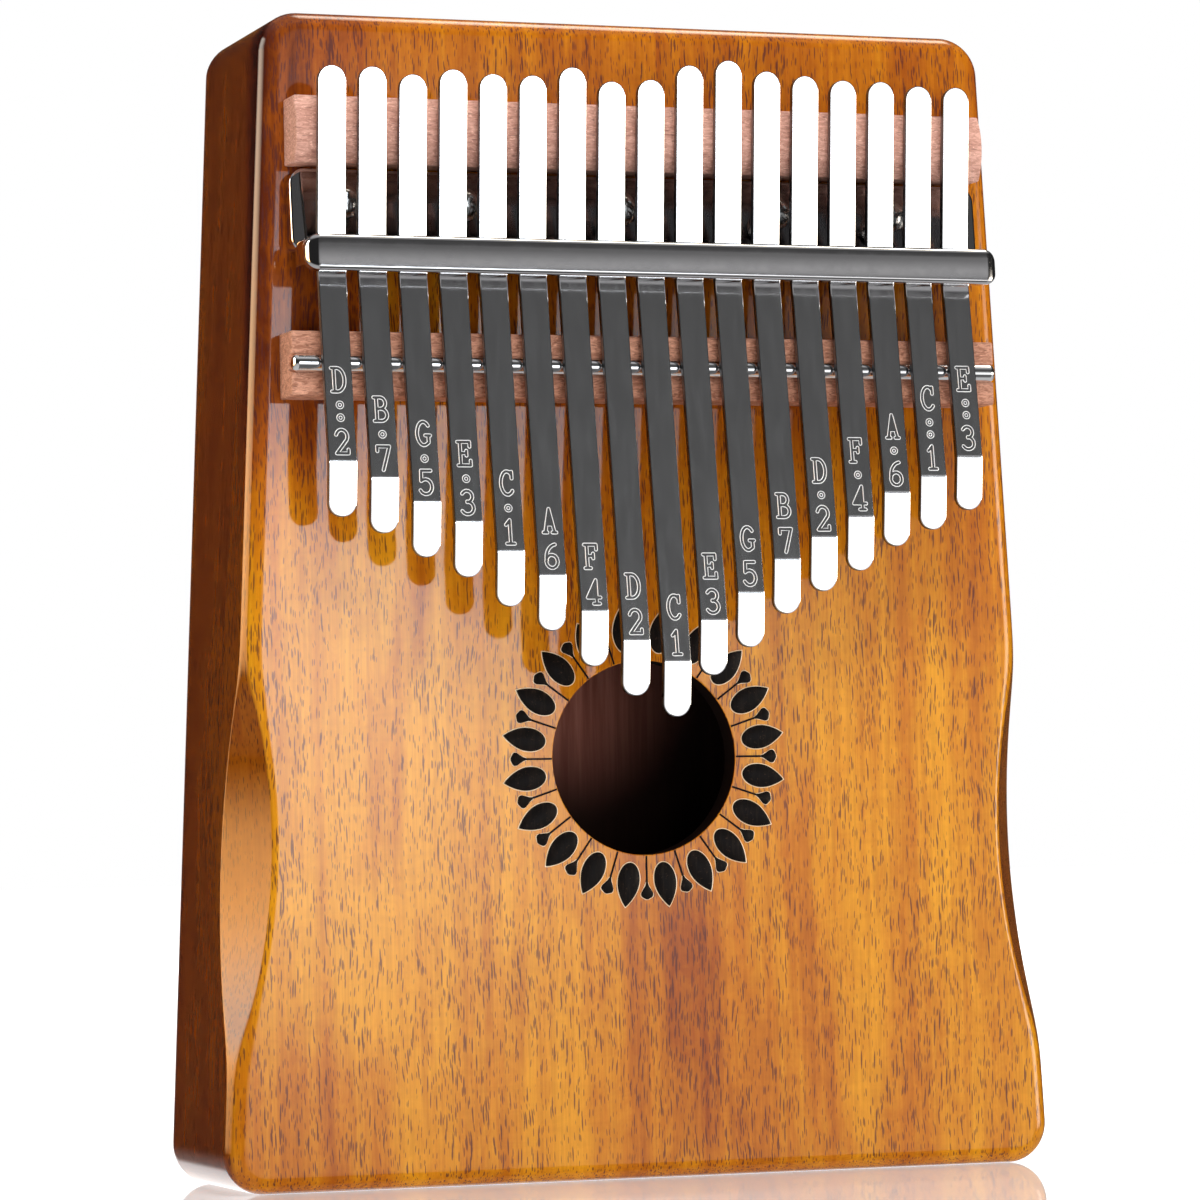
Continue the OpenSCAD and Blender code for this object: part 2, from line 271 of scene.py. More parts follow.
class Nodes:
    """Short forms for the nodes of one new material, or of the world that is given."""

    def __init__(self, name, owner=None):
        self.owner = owner or bpy.data.materials.new(name)
        self.owner.use_nodes = True
        self.tree = self.owner.node_tree
        self.bsdf = self.tree.nodes.get("Principled BSDF")

    def put(self, node, key, value):
        if isinstance(value, bpy.types.Node):
            value = value.outputs[0]
        if isinstance(value, bpy.types.NodeSocket):
            self.tree.links.new(value, node.inputs[key])
        else:
            if isinstance(value, (tuple, list)) and len(value) == 3 and node.inputs[key].type == "RGBA":
                value = (*value, 1)
            node.inputs[key].default_value = value

    def add(self, kind, inputs, **settings):
        node = self.tree.nodes.new(kind)
        for k, v in settings.items():
            setattr(node, k, v)
        for k, v in inputs.items():
            self.put(node, k, v)
        return node

    def place(self, scale=(1, 1, 1), shift=(0, 0, 0), turn=(0, 0, 0)):
        """The position in millimetres, times a scale."""
        coords = self.add("ShaderNodeTexCoord", {}).outputs["Object"]
        return self.add(
            "ShaderNodeMapping",
            {"Vector": coords, "Location": shift, "Rotation": turn, "Scale": tuple(s * 1000 for s in scale)},
        )

    def noise(self, vector, detail, rough=0.55, distort=0.0):
        node = self.add(
            "ShaderNodeTexNoise",
            {"Vector": vector, "Scale": 1.0, "Detail": detail, "Roughness": rough, "Distortion": distort},
        )
        return node.outputs["Fac"]

    def dashes(self, scale, shift, sway, thick, size):
        """Short upright dashes, 1 inside and 0 outside: long cells with a dash of its own length in each."""
        at = self.add("ShaderNodeSeparateXYZ", {"Vector": self.place((1, 1, 1), shift)})
        x = self.math("ADD", at.outputs["X"], sway)
        parts = [self.math("MULTIPLY", v, k) for v, k in zip((x, at.outputs["Y"], at.outputs["Z"]), scale)]
        joined = self.add("ShaderNodeCombineXYZ", {0: parts[0], 1: parts[1], 2: parts[2]})
        cells = self.add("ShaderNodeTexVoronoi", {"Vector": joined, "Scale": 1.0, "Randomness": 1.0})
        reach = self.math("DIVIDE", cells.outputs["Distance"], thick)
        return self.span(reach, size, size * 0.7)

    def ramp(self, fac, stops):
        node = self.add("ShaderNodeValToRGB", {"Fac": fac})
        elements = node.color_ramp.elements
        while len(elements) < len(stops):
            elements.new(0.5)
        for e, (at, colour) in zip(elements, stops):
            e.position = at
            e.color = (*colour, 1) if isinstance(colour, (tuple, list)) else (colour, colour, colour, 1)
        return node.outputs["Color"]

    def span(self, value, low, high, to_low=0.0, to_high=1.0):
        node = self.add(
            "ShaderNodeMapRange",
            {"Value": value, "From Min": low, "From Max": high, "To Min": to_low, "To Max": to_high},
            interpolation_type="SMOOTHSTEP",
        )
        return node.outputs["Result"]

    def math(self, op, a, b=0.0):
        return self.add("ShaderNodeMath", {0: a, 1: b}, operation=op).outputs[0]

    def mix(self, fac, a, b, mode="MIX"):
        node = self.add("ShaderNodeMix", {}, data_type="RGBA", blend_type=mode, clamp_factor=True)
        for key, value in ((0, fac), (6, a), (7, b)):
            self.put(node, key, value)
        return node.outputs[2]

    def bump(self, height, strength, distance):
        inputs = {"Height": height, "Strength": strength, "Distance": distance * MM}
        return self.add("ShaderNodeBump", inputs).outputs["Normal"]

    def shade(self, **inputs):
        for k, v in inputs.items():
            self.put(self.bsdf, k.replace("_", " ").title().replace("Ior", "IOR"), v)
        return self.owner


# ---- materials -------------------------------------------------------------------------------------


def koa(name, tones, shift=(0, 0, 0), gloss=0.06, zones=True):
    """Glossy koa: broad tone changes and streaks along Z, wavy fibres, short dark pores in two sizes, and
    painted shade on faces that turn sideways.
    """
    n = Nodes(name)
    broad = n.noise(n.place((0.045, 0.03, 0.008), shift), 3, 0.5, 0.6)
    streak = n.noise(n.place((0.2, 0.12, 0.008), shift), 4, 0.6, 0.8)
    mottle = n.noise(n.place((0.35, 0.3, 0.12), shift), 4, 0.7, 1.0)
    fibre = n.noise(n.place((2.2, 1.6, 0.05), shift), 3, 0.6, 0.3)
    figure = n.noise(n.place((0.06, 0.06, 0.26), shift), 3, 0.6, 1.5)
    tone = n.math("ADD", n.math("MULTIPLY", broad, 0.55), n.math("MULTIPLY", streak, 0.55))
    tone = n.math("ADD", tone, n.math("MULTIPLY", mottle, 0.28))
    if zones:
        tone = n.math("ADD", tone, zone_tone(n))
    colour = n.ramp(tone, list(zip((0.3, 0.5, 0.66, 0.86), tones)))
    colour = n.mix(n.span(fibre, 0.32, 0.7, 0.0, 0.45), colour, (0.66, 0.56, 0.5), "MULTIPLY")
    colour = n.mix(n.span(figure, 0.42, 0.65, 0.0, 0.22), colour, (0.74, 0.68, 0.62), "MULTIPLY")
    sway = n.math("MULTIPLY", n.math("SUBTRACT", n.noise(n.place((0.05, 0.05, 0.05), shift), 2), 0.5), 2.6)
    gather = n.noise(n.place((0.13, 0.13, 0.04), shift), 3)
    thick = n.math("ADD", n.span(gather, 0.3, 0.65, 0.8, 1.25), n.span(tone, 0.66, 0.36, 0.0, 0.35))
    fine = n.dashes((3.0, 2.6, 0.4), shift, sway, thick, 0.3)
    coarse = n.dashes((1.9, 1.7, 0.15), (shift[0] + 7, shift[1], shift[2]), sway, thick, 0.24)
    pore = n.math("MAXIMUM", n.math("MULTIPLY", fine, 0.72), n.math("MULTIPLY", coarse, 0.85))
    colour = n.mix(pore, colour, (0.085, 0.022, 0.018))
    # Painted shade: faces turned sideways (the sides, the scoops and the rounding of edges) are darkened.
    side = n.add("ShaderNodeSeparateXYZ", {"Vector": n.add("ShaderNodeNewGeometry", {}).outputs["Normal"]})
    painted_side_shade = n.span(n.math("ABSOLUTE", side.outputs["X"]), 0.6, 0.88)
    colour = n.mix(painted_side_shade, colour, (0.4, 0.24, 0.15), "MULTIPLY")
    rough = n.span(n.noise(n.place((0.3, 0.3, 0.3)), 2), 0.3, 0.7, 0.42, 0.52)
    height = n.math("SUBTRACT", n.math("MULTIPLY", fibre, 0.4), pore)
    return n.shade(
        base_color=colour,
        roughness=rough,
        normal=n.bump(height, 0.2, 0.05),
        coat_weight=1.0,
        coat_roughness=gloss,
        coat_ior=1.35,
        specular_ior_level=0.0,
    )


def zone_tone(n):
    """Where this board is darker or lighter: a sum of soft upright bands on the front face."""
    at = n.add("ShaderNodeSeparateXYZ", {"Vector": n.place()})
    x, z = at.outputs["X"], at.outputs["Z"]
    drift = n.math("MULTIPLY", n.math("SUBTRACT", n.noise(n.place((0.03, 0.02, 0.02)), 3), 0.5), 14)
    x = n.math("ADD", x, drift)
    total = None
    for centre, lean, width, low, high, amount in ZONES:
        from_line = n.math("SUBTRACT", x, n.math("ADD", n.math("MULTIPLY", z, lean), centre))
        across = n.span(n.math("ABSOLUTE", from_line), width * 0.25, width, amount, 0)
        half = (high - low) / 2
        along = n.span(n.math("ABSOLUTE", n.math("SUBTRACT", z, low + half)), half * 0.6, half * 1.2, 1, 0)
        part = n.math("MULTIPLY", across, along)
        total = part if total is None else n.math("ADD", total, part)
    return n.math("MULTIPLY", total, n.span(at.outputs["Y"], FRONT_Y + 9, FRONT_Y + 2))


# Bands of the front board: centre where z = 0, lean, half width, lowest and highest z, change of tone
ZONES = [
    (14, -0.2, 8, 2, 46, -0.13),
    (33, -0.12, 5, 2, 64, -0.1),
    (10, 0, 16, -12, 58, -0.05),
    (-62, 0, 26, 108, 230, -0.32),
    (-51, 0.13, 5, 44, 104, -0.16),
    (0, 0, 130, 172, 230, -0.07),
    (20, 0, 60, 112, 172, -0.06),
    (-32, 0, 32, -14, 112, 0.14),
    (-30, 0, 14, 36, 84, 0.05),
    (-53, 0, 13, -20, 26, -0.16),
    (56, 0, 16, 84, 120, -0.07),
]


def raw_inside():
    """Unfinished wood inside the box. A painted pool of light makes it reddish brown on the left and high up,
    and painted shade makes it nearly black elsewhere; it is nearly black nearer the front as well.
    """
    n = Nodes("koa_inside")
    fibre = n.noise(n.place((0.9, 0.9, 0.03)), 4, 0.6, 0.3)
    colour = n.mix(n.span(fibre, 0.3, 0.7), (0.28, 0.092, 0.065), (0.53, 0.2, 0.145))
    # Painted light and shade: a soft pool of light round a point on the left and high up, fading to near
    # black further from it.
    at = n.add("ShaderNodeSeparateXYZ", {"Vector": n.place()})
    across = n.math("DIVIDE", n.math("ADD", at.outputs["X"], 3), 27)
    up = n.math("DIVIDE", n.math("SUBTRACT", at.outputs["Z"], HOLE_Z + 14), 25)
    far = n.math("SQRT", n.math("ADD", n.math("MULTIPLY", across, across), n.math("MULTIPLY", up, up)))
    painted_shade = n.span(n.math("ADD", far, n.math("MULTIPLY", fibre, 0.2)), 0.15, 1.1, 0.0, 0.985)
    shallow = n.span(at.outputs["Y"], 4, -4)
    colour = n.mix(n.math("MAXIMUM", painted_shade, shallow), colour, (0.01, 0.005, 0.004))
    return n.shade(base_color=colour, roughness=0.8, normal=n.bump(fibre, 0.3, 0.05), specular_ior_level=0.1)


def bare_wood(name, light, dark, turn, fleck):
    """Unfinished bridge wood, with fine fibres turned a little off the long way, and short pale flecks."""
    n = Nodes(name)
    fibre = n.noise(n.place((0.6, 1.0, 1.9), turn=(0, turn, 0)), 4, 0.65, 1.2)
    wide = n.noise(n.place((0.06, 0.1, 0.2)), 2, 0.5, 0.3)
    speck = n.noise(n.place((1.6, 1.6, 3.2), turn=(0, turn, 0)), 2, 0.6)
    colour = n.mix(n.span(fibre, 0.35, 0.68), dark, light)
    colour = n.mix(n.span(wide, 0.35, 0.65, 0, 0.35), colour, (0.72, 0.64, 0.6), "MULTIPLY")
    pale = tuple(min(1.0, c * 1.5) for c in light)
    colour = n.mix(n.span(speck, 0.6, 0.72, 0, fleck), colour, pale)
    pore = n.span(n.noise(n.place((0.7, 1.6, 4.0), turn=(0, turn, 0)), 1), 0.63, 0.7)
    colour = n.mix(n.math("MULTIPLY", pore, 0.6), colour, (dark[0] * 0.4, dark[1] * 0.35, dark[2] * 0.35))
    height = n.math("SUBTRACT", fibre, n.math("MULTIPLY", pore, 0.8))
    normal = n.bump(height, 0.5, 0.08)
    return n.shade(base_color=colour, roughness=0.62, normal=normal, specular_ior_level=0.35)


def metal(name, base, rough, grain=(0.4, 0.4, 0.4), spread=0.04, bump=0.0, bump_scale=3.0):
    """Plated or polished metal, with faint uneven polish and, if asked, a fine grain."""
    n = Nodes(name)
    wear = n.noise(n.place(grain), 3, 0.6)
    tint = n.mix(n.span(wear, 0.35, 0.65, 0, 0.35), base, tuple(c * 0.9 for c in base))
    inputs = {
        "base_color": tint,
        "metallic": 1.0,
        "roughness": n.span(wear, 0.3, 0.7, rough, rough + spread),
    }
    if bump:
        inputs["normal"] = n.bump(n.noise(n.place((bump_scale,) * 3), 2, 0.6), bump, 0.02)
    return n.shade(**inputs)


def inlay_black():
    n = Nodes("inlay_black")
    grain = n.noise(n.place((2.0, 2.0, 0.3)), 3, 0.6, 0.3)
    speck = n.noise(n.place((2.4, 2.4, 2.4)), 2, 0.6)
    colour = n.mix(n.span(grain, 0.45, 0.75), (0.004, 0.003, 0.003), (0.012, 0.008, 0.006))
    colour = n.mix(n.span(speck, 0.62, 0.72, 0, 0.5), colour, (0.05, 0.028, 0.016))
    return n.shade(
        base_color=colour,
        roughness=0.7,
        normal=n.bump(grain, 0.3, 0.03),
        coat_weight=0.06,
        coat_roughness=0.3,
        specular_ior_level=0.08,
    )


def inlay_edge():
    n = Nodes("inlay_edge")
    grain = n.noise(n.place((1.2, 1.2, 0.6)), 2)
    colour = n.mix(n.span(grain, 0.3, 0.7), (0.72, 0.5, 0.27), (0.85, 0.68, 0.45))
    return n.shade(base_color=colour, roughness=0.45, coat_weight=0.6, coat_roughness=0.1)


def etched():
    n = Nodes("etched_mark")
    grain = n.noise(n.place((6, 6, 6)), 2)
    colour = n.mix(grain, (0.8, 0.8, 0.8), (0.95, 0.95, 0.95))
    return n.shade(base_color=colour, metallic=0.35, roughness=0.42, normal=n.bump(grain, 0.2, 0.02))


KOA_TONES = [(0.11, 0.02, 0.006), (0.36, 0.085, 0.008), (0.545, 0.172, 0.007), (0.74, 0.315, 0.012)]
KOA = koa("koa", KOA_TONES)
KOA_BACK = koa("koa_back", [tuple(c * 0.85 for c in t) for t in KOA_TONES], (37, 11, 5), 0.1, False)
KOA_INSIDE = raw_inside()
REAR_WOOD = bare_wood("rear_bridge_wood", (0.74, 0.42, 0.33), (0.48, 0.23, 0.17), 0.2, 0.6)
FRONT_WOOD = bare_wood("front_bridge_wood", (0.7, 0.36, 0.24), (0.36, 0.15, 0.09), 0.5, 0.3)
CHROME = metal("clamp_chrome", (0.62, 0.61, 0.62), 0.05, spread=0.05)
SCREW = metal("screw_steel", (0.6, 0.6, 0.6), 0.16, (1.5, 1.5, 1.5), 0.1, 0.1, 4.0)
ROD = metal("rod_steel", (0.85, 0.85, 0.86), 0.05)
STEEL = metal("tine_steel", (0.86, 0.86, 0.87), 0.1, (0.8, 0.8, 0.1), 0.05, 0.05, 6.0)
# Painted shade: the tines' cut sides get a dark steel, for the thin dark line along each tine's edge.
CUT_EDGE_SHADE = metal("tine_cut_edge_shade", (0.2, 0.2, 0.21), 0.25, (1.5, 1.5, 0.3), 0.1, 0.1, 5.0)
ETCHED = etched()
BLACK = inlay_black()
CREAM = inlay_edge()


# ---- body ------------------------------------------------------------------------------------------

GRIP_DEPTH = GRIP_IN * GRIP_BACK / sqrt(GRIP_IN**2 + GRIP_BACK**2)
GRIP_R = ((GRIP_L / 2) ** 2 + GRIP_DEPTH**2) / (2 * GRIP_DEPTH)
GRIP_FRONT_R, GRIP_SIDE_R = 1.4, 1.1
EDGE_DEPTH = EDGE_R * (cos(atan(GRIP_IN / GRIP_BACK)) + sin(atan(GRIP_IN / GRIP_BACK)) - 1)


def grip_cut(z):
    """How deep the scoop cuts in from the sharp front edge, never less than the edge's own rounding."""
    span = min(abs(z - GRIP_Z), GRIP_R)
    d = GRIP_DEPTH - (GRIP_R - sqrt(GRIP_R**2 - span**2)) - EDGE_DEPTH
    soft = 0.55
    return EDGE_DEPTH + soft * np.logaddexp(0, d / soft)


def body_path():
    """Round the body's outline, anticlockwise from the front: (x, z, outward x, outward z, on a side)."""
    lean = atan(SLOPE)
    path = []

    def corner(z, sign, first, last):
        cx = sign * side_x(z, CORNER_R)
        for k in range(13):
            a = first + (last - first) * k / 12
            path.append((cx + CORNER_R * cos(a), z + CORNER_R * sin(a), cos(a), sin(a), False))

    def side(sign):
        low = CORNER_R + CORNER_R * sin(lean)
        high = BODY_L - CORNER_R + CORNER_R * sin(lean)
        fine = list(np.arange(low + 1, 100, 1.0))
        zs = fine + list(np.linspace(fine[-1], high, 9)[1:-1])
        for z in zs if sign > 0 else reversed(zs):
            path.append((sign * side_x(z), z, sign / SEC, SLOPE / SEC, True))

    def end(z, sign):
        half = side_x(CORNER_R if z == 0 else BODY_L - CORNER_R, CORNER_R)
        for t in np.linspace(-1, 1, 12)[1:-1]:
            path.append((sign * t * half, z, 0.0, -1.0 if z == 0 else 1.0, False))

    end(0.0, 1)
    corner(CORNER_R, 1, -pi / 2, lean)
    side(1)
    corner(BODY_L - CORNER_R, 1, lean, pi / 2)
    end(BODY_L, -1)
    corner(BODY_L - CORNER_R, -1, pi / 2, pi - lean)
    side(-1)
    corner(CORNER_R, -1, pi - lean, 1.5 * pi)
    return path


def arc_points(centre, radius, first, last, steps):
    turns = [first + (last - first) * k / steps for k in range(steps + 1)]
    return [(centre[0] + radius * cos(a), centre[1] + radius * sin(a)) for a in turns]


def edge_profile(z, on_side):
    """From the front face round the scooped edge to the back: (inset, distance behind the front) points."""
    depth = grip_cut(z) if on_side else EDGE_DEPTH
    share = depth / GRIP_DEPTH
    ease = min(1.0, max(0.0, (depth - EDGE_DEPTH) / 2.6))
    ease = ease * ease * (3 - 2 * ease)
    r_front = EDGE_R + (GRIP_FRONT_R - EDGE_R) * ease
    r_side = EDGE_R + (GRIP_SIDE_R - EDGE_R) * ease
    tilt = atan(GRIP_BACK / GRIP_IN)
    t_front = r_front * tan(tilt / 2)
    t_side = r_side * tan((pi / 2 - tilt) / 2)
    a0, b0 = GRIP_IN * share, GRIP_BACK * share
    ring = max(6.3, a0 + t_front + 1.0)
    pts = [(ring, 0.0), (a0 + t_front + 0.15, 0.0)]
    pts += arc_points((a0 + t_front, r_front), r_front, -pi / 2, -pi / 2 - tilt, 10)
    side_arc = arc_points((r_side, b0 + t_side), r_side, -pi / 2 - tilt, -pi, 8)
    p, q = Vector(pts[-1]), Vector(side_arc[0])
    pts += [tuple(p.lerp(q, t)) for t in (0.1, 0.35, 0.65, 0.9)]
    pts += side_arc
    back_start = BODY_T - EDGE_R
    s = side_arc[-1][1]
    pts += [(0.0, s + (back_start - s) * t) for t in (0.04, 0.35, 0.65, 0.96)]
    pts += arc_points((EDGE_R, back_start), EDGE_R, pi, pi / 2, 8)
    pts += [(BACK_RIM - 0.25, BODY_T), (BACK_RIM, BODY_T - 0.25), (BACK_RIM, BODY_T - BACK_T)]
    return pts


def circle_path(radius, z, count=96):
    turns = np.arange(count) * 2 * pi / count
    return [(radius * cos(a), z + radius * sin(a), cos(a), sin(a)) for a in turns]


def hollow_path(inset, low, high, r):
    corners = [
        (side_x(low, inset), low),
        (side_x(high, inset), high),
        (-side_x(high, inset), high),
        (-side_x(low, inset), low),
    ]
    return rounded_path(corners, r)


def make_body():
    b = Builder()
    path = body_path()
    profiles = np.array([edge_profile(p[1], p[4]) for p in path])
    profiles[:, :, 1] += FRONT_Y
    rings = shell([p[:4] for p in path], profiles)
    b.add(np.concatenate(rings), ring_quads(len(path), len(rings)))
    front_loop = rings[0][:, [0, 2]]
    lip = 0.15
    hole = circle_path(HOLE_R, HOLE_Z)
    lip_points = [(-lip * (1 - sin(a)), FRONT_Y + lip * (1 - cos(a))) for a in np.linspace(0, pi / 2, 6)]
    inner = FRONT_Y + FRONT_WALL
    wall = lip_points + [(0.0, FRONT_Y + 0.2), (0.0, inner - 0.4), (-0.4, inner)]
    hole_rings = shell(hole, wall)
    n_lip = len(lip_points)
    b.add(np.concatenate(hole_rings[: n_lip + 1]), ring_quads(len(hole), n_lip + 1))
    b.add(np.concatenate(hole_rings[n_lip:]), ring_quads(len(hole), len(hole_rings) - n_lip), 1)
    flat_region(b, front_loop, [hole_rings[0][:, [0, 2]]], FRONT_Y, 7.0)
    hollow = hollow_path(SIDE_WALL, SIDE_WALL, HOLLOW_TOP, 4.0)
    inside = shell(hollow, [(0.0, inner), (0.0, 0.0), (0.0, BACK_Y - BACK_T)])
    b.add(np.concatenate(inside), ring_quads(len(hollow), len(inside)), 1)
    flat_region(b, inside[0][:, [0, 2]], [hole_rings[-1][:, [0, 2]]], inner, 12.0, 1)
    flat_region(b, rings[-1][:, [0, 2]], [inside[-1][:, [0, 2]]], BACK_Y - BACK_T, 14.0, 1)
    body = b.make("body_shell", [KOA, KOA_INSIDE])
    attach(body, "box")
    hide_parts("soundbox")

    b = Builder()
    inset = BACK_RIM + 0.12
    inset_path = [(x - inset * nx, z - inset * nz, nx, nz) for x, z, nx, nz, _ in path]
    low = BACK_Y - BACK_T
    plate(b, inset_path, [(0.0, low), (0.0, BACK_Y - 0.3), (0.1, BACK_Y - 0.1), (0.3, BACK_Y), (1.2, BACK_Y)])
    inner_face = -2
    b.slots[inner_face] = 1
    back = b.make("back_panel", [KOA_BACK, KOA_INSIDE])
    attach(back, "box")
    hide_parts("back_plate")


# ---- inlay -----------------------------------------------------------------------------------------

LEAVES = 20
LEAF_IN, LEAF_OUT, LEAF_W = 16.9, 24.0, 3.7
BUD_D = 2.1
BUD_OUT = LEAF_OUT - 1.4


def leaf_outline(grow):
    """Round at the inner end, widest near the middle, and drawn to a point at the outer end."""
    low, high = LEAF_IN - grow, LEAF_OUT + grow * 1.6
    widest = 0.42
    right = []
    for t in np.linspace(0, 1, 27):
        u = t * t * (3 - 2 * t)
        if u < widest:
            across = sqrt(1 - (1 - u / widest) ** 2)
        else:
            across = max(0.0, cos(pi / 2 * (u - widest) / (1 - widest))) ** 0.85
        right.append(((LEAF_W / 2 + grow) * across, low + (high - low) * u))
    left = [(-x, z) for x, z in reversed(right[1:-1])]
    return right + left


def bud_outline(grow):
    """An acorn: nearly flat at the outer end, with round corners, and drawn in at the inner end."""
    half, top, foot = BUD_D / 2 + grow, BUD_OUT + grow, BUD_OUT - BUD_D * 1.25 - grow
    right = [(0.16 + grow * 0.6, foot), (0.3 + grow * 0.8, foot + 0.45), (half * 0.66, foot + 1.05 + grow)]
    right += [(half * 0.95, top - 1.1), (half, top - 0.7), (half * 0.86, top - 0.42)]
    right += [(half * 0.5, top - 0.2), (half * 0.16, top - 0.02)]
    return right + [(-x, z) for x, z in reversed(right)]


def outward(points):
    """Adds outward directions to the points of a closed anticlockwise loop."""
    p = np.asarray(points, float)
    along = np.roll(p, -1, 0) - np.roll(p, 1, 0)
    n = np.stack([along[:, 1], -along[:, 0]], 1)
    n /= np.linalg.norm(n, axis=1)[:, None]
    return np.concatenate([p, n], 1)


def turned(points, degrees):
    a = radians(degrees)
    p = np.asarray(points, float)
    x, z = p[:, 0] * cos(a) - p[:, 1] * sin(a), p[:, 0] * sin(a) + p[:, 1] * cos(a)
    return np.stack([x, z + HOLE_Z], 1)


def inlay_piece(b, points, turn, thick, slot):
    path = outward(turned(points, turn))
    plate(b, path, [(0.0, FRONT_Y + 0.1), (0.0, FRONT_Y - thick + 0.03), (0.05, FRONT_Y - thick)], slot)


def make_inlay():
    black, cream = Builder(), Builder()
    bud_z = BUD_OUT - BUD_D / 2
    for i in range(LEAVES):
        turn = 360 / LEAVES * i
        inlay_piece(black, leaf_outline(0), turn + 9, 0.14, 0)
        inlay_piece(cream, leaf_outline(0.14), turn + 9, 0.06, 0)
        inlay_piece(black, bud_outline(0), turn, 0.14, 0)
        inlay_piece(cream, bud_outline(0.1), turn, 0.06, 0)
        low, high = HOLE_R + 0.16, bud_z - 1.2
        stem = [(-0.14, low), (0.14, low), (0.15, high), (-0.15, high)]
        inlay_piece(black, stem, turn, 0.12, 0)
    leaves = black.make("rosette_leaves", [BLACK], weighted=False)
    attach(leaves, "box")
    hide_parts("rosette")
    edges = cream.make("rosette_edges", [CREAM], weighted=False)
    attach(edges, "box")


# ---- bridges, rod and clamp ------------------------------------------------------------------------


def make_bridges():
    low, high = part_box("rear_bridge")
    half, mid = high.x / MM, (low.z + high.z) / 2 / MM
    half_w, top = (high.z - low.z) / 2 / MM, (FRONT_Y - low.y / MM)
    rise = 1.6
    r = (half_w**2 + rise**2) / (2 * rise)
    a = atan(half_w / (r - rise))
    crown = [(mid + r * sin(t), top - r + r * cos(t)) for t in np.linspace(a, -a, 25)]
    section = [(mid - half_w, 0.0), (mid + half_w, 0.0), *crown]
    b = Builder()
    sweep(b, section, half, round_ends(0.35, (half_w, top / 2), 4))
    rear = b.make("rear_bridge_block", [REAR_WOOD])
    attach(rear, "box")
    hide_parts("rear_bridge")

    low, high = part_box("front_bridge")
    half, mid = high.x / MM, (low.z + high.z) / 2 / MM
    half_w, top = (high.z - low.z) / 2 / MM, (FRONT_Y - low.y / MM)
    groove = ROD_D / 2 + 0.02
    edge = 0.35
    side = sqrt(groove**2 - (top - ROD_H) ** 2)
    start = atan((top - ROD_H) / side)
    cup = [(mid + groove * cos(t), ROD_H + groove * sin(t)) for t in np.linspace(start, -pi - start, 25)]
    section = [(mid - half_w, 0.0), (mid + half_w, 0.0), (mid + half_w, top - edge)]
    section += [(mid + half_w - edge * 0.3, top - edge * 0.3), (mid + half_w - edge, top), *cup]
    section += [(mid - half_w + edge, top), (mid - half_w + edge * 0.3, top - edge * 0.3)]
    section += [(mid - half_w, top - edge)]
    b = Builder()
    sweep(b, section, half, round_ends(0.3, (half_w, top / 2), 4))
    front = b.make("front_bridge_block", [FRONT_WOOD])
    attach(front, "box")
    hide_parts("front_bridge")

    low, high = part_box("bridge_rod")
    half = high.x / MM
    circle = [(ROD_Z + ROD_D / 2 * cos(t), ROD_H + ROD_D / 2 * sin(t)) for t in np.arange(48) * pi / 24]
    b = Builder()
    sweep(b, circle, half, round_ends(0.9, (ROD_D / 2, ROD_D / 2), 8))
    rod = b.make("rod", [ROD])
    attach(rod, "box")
    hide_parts("bridge_rod")


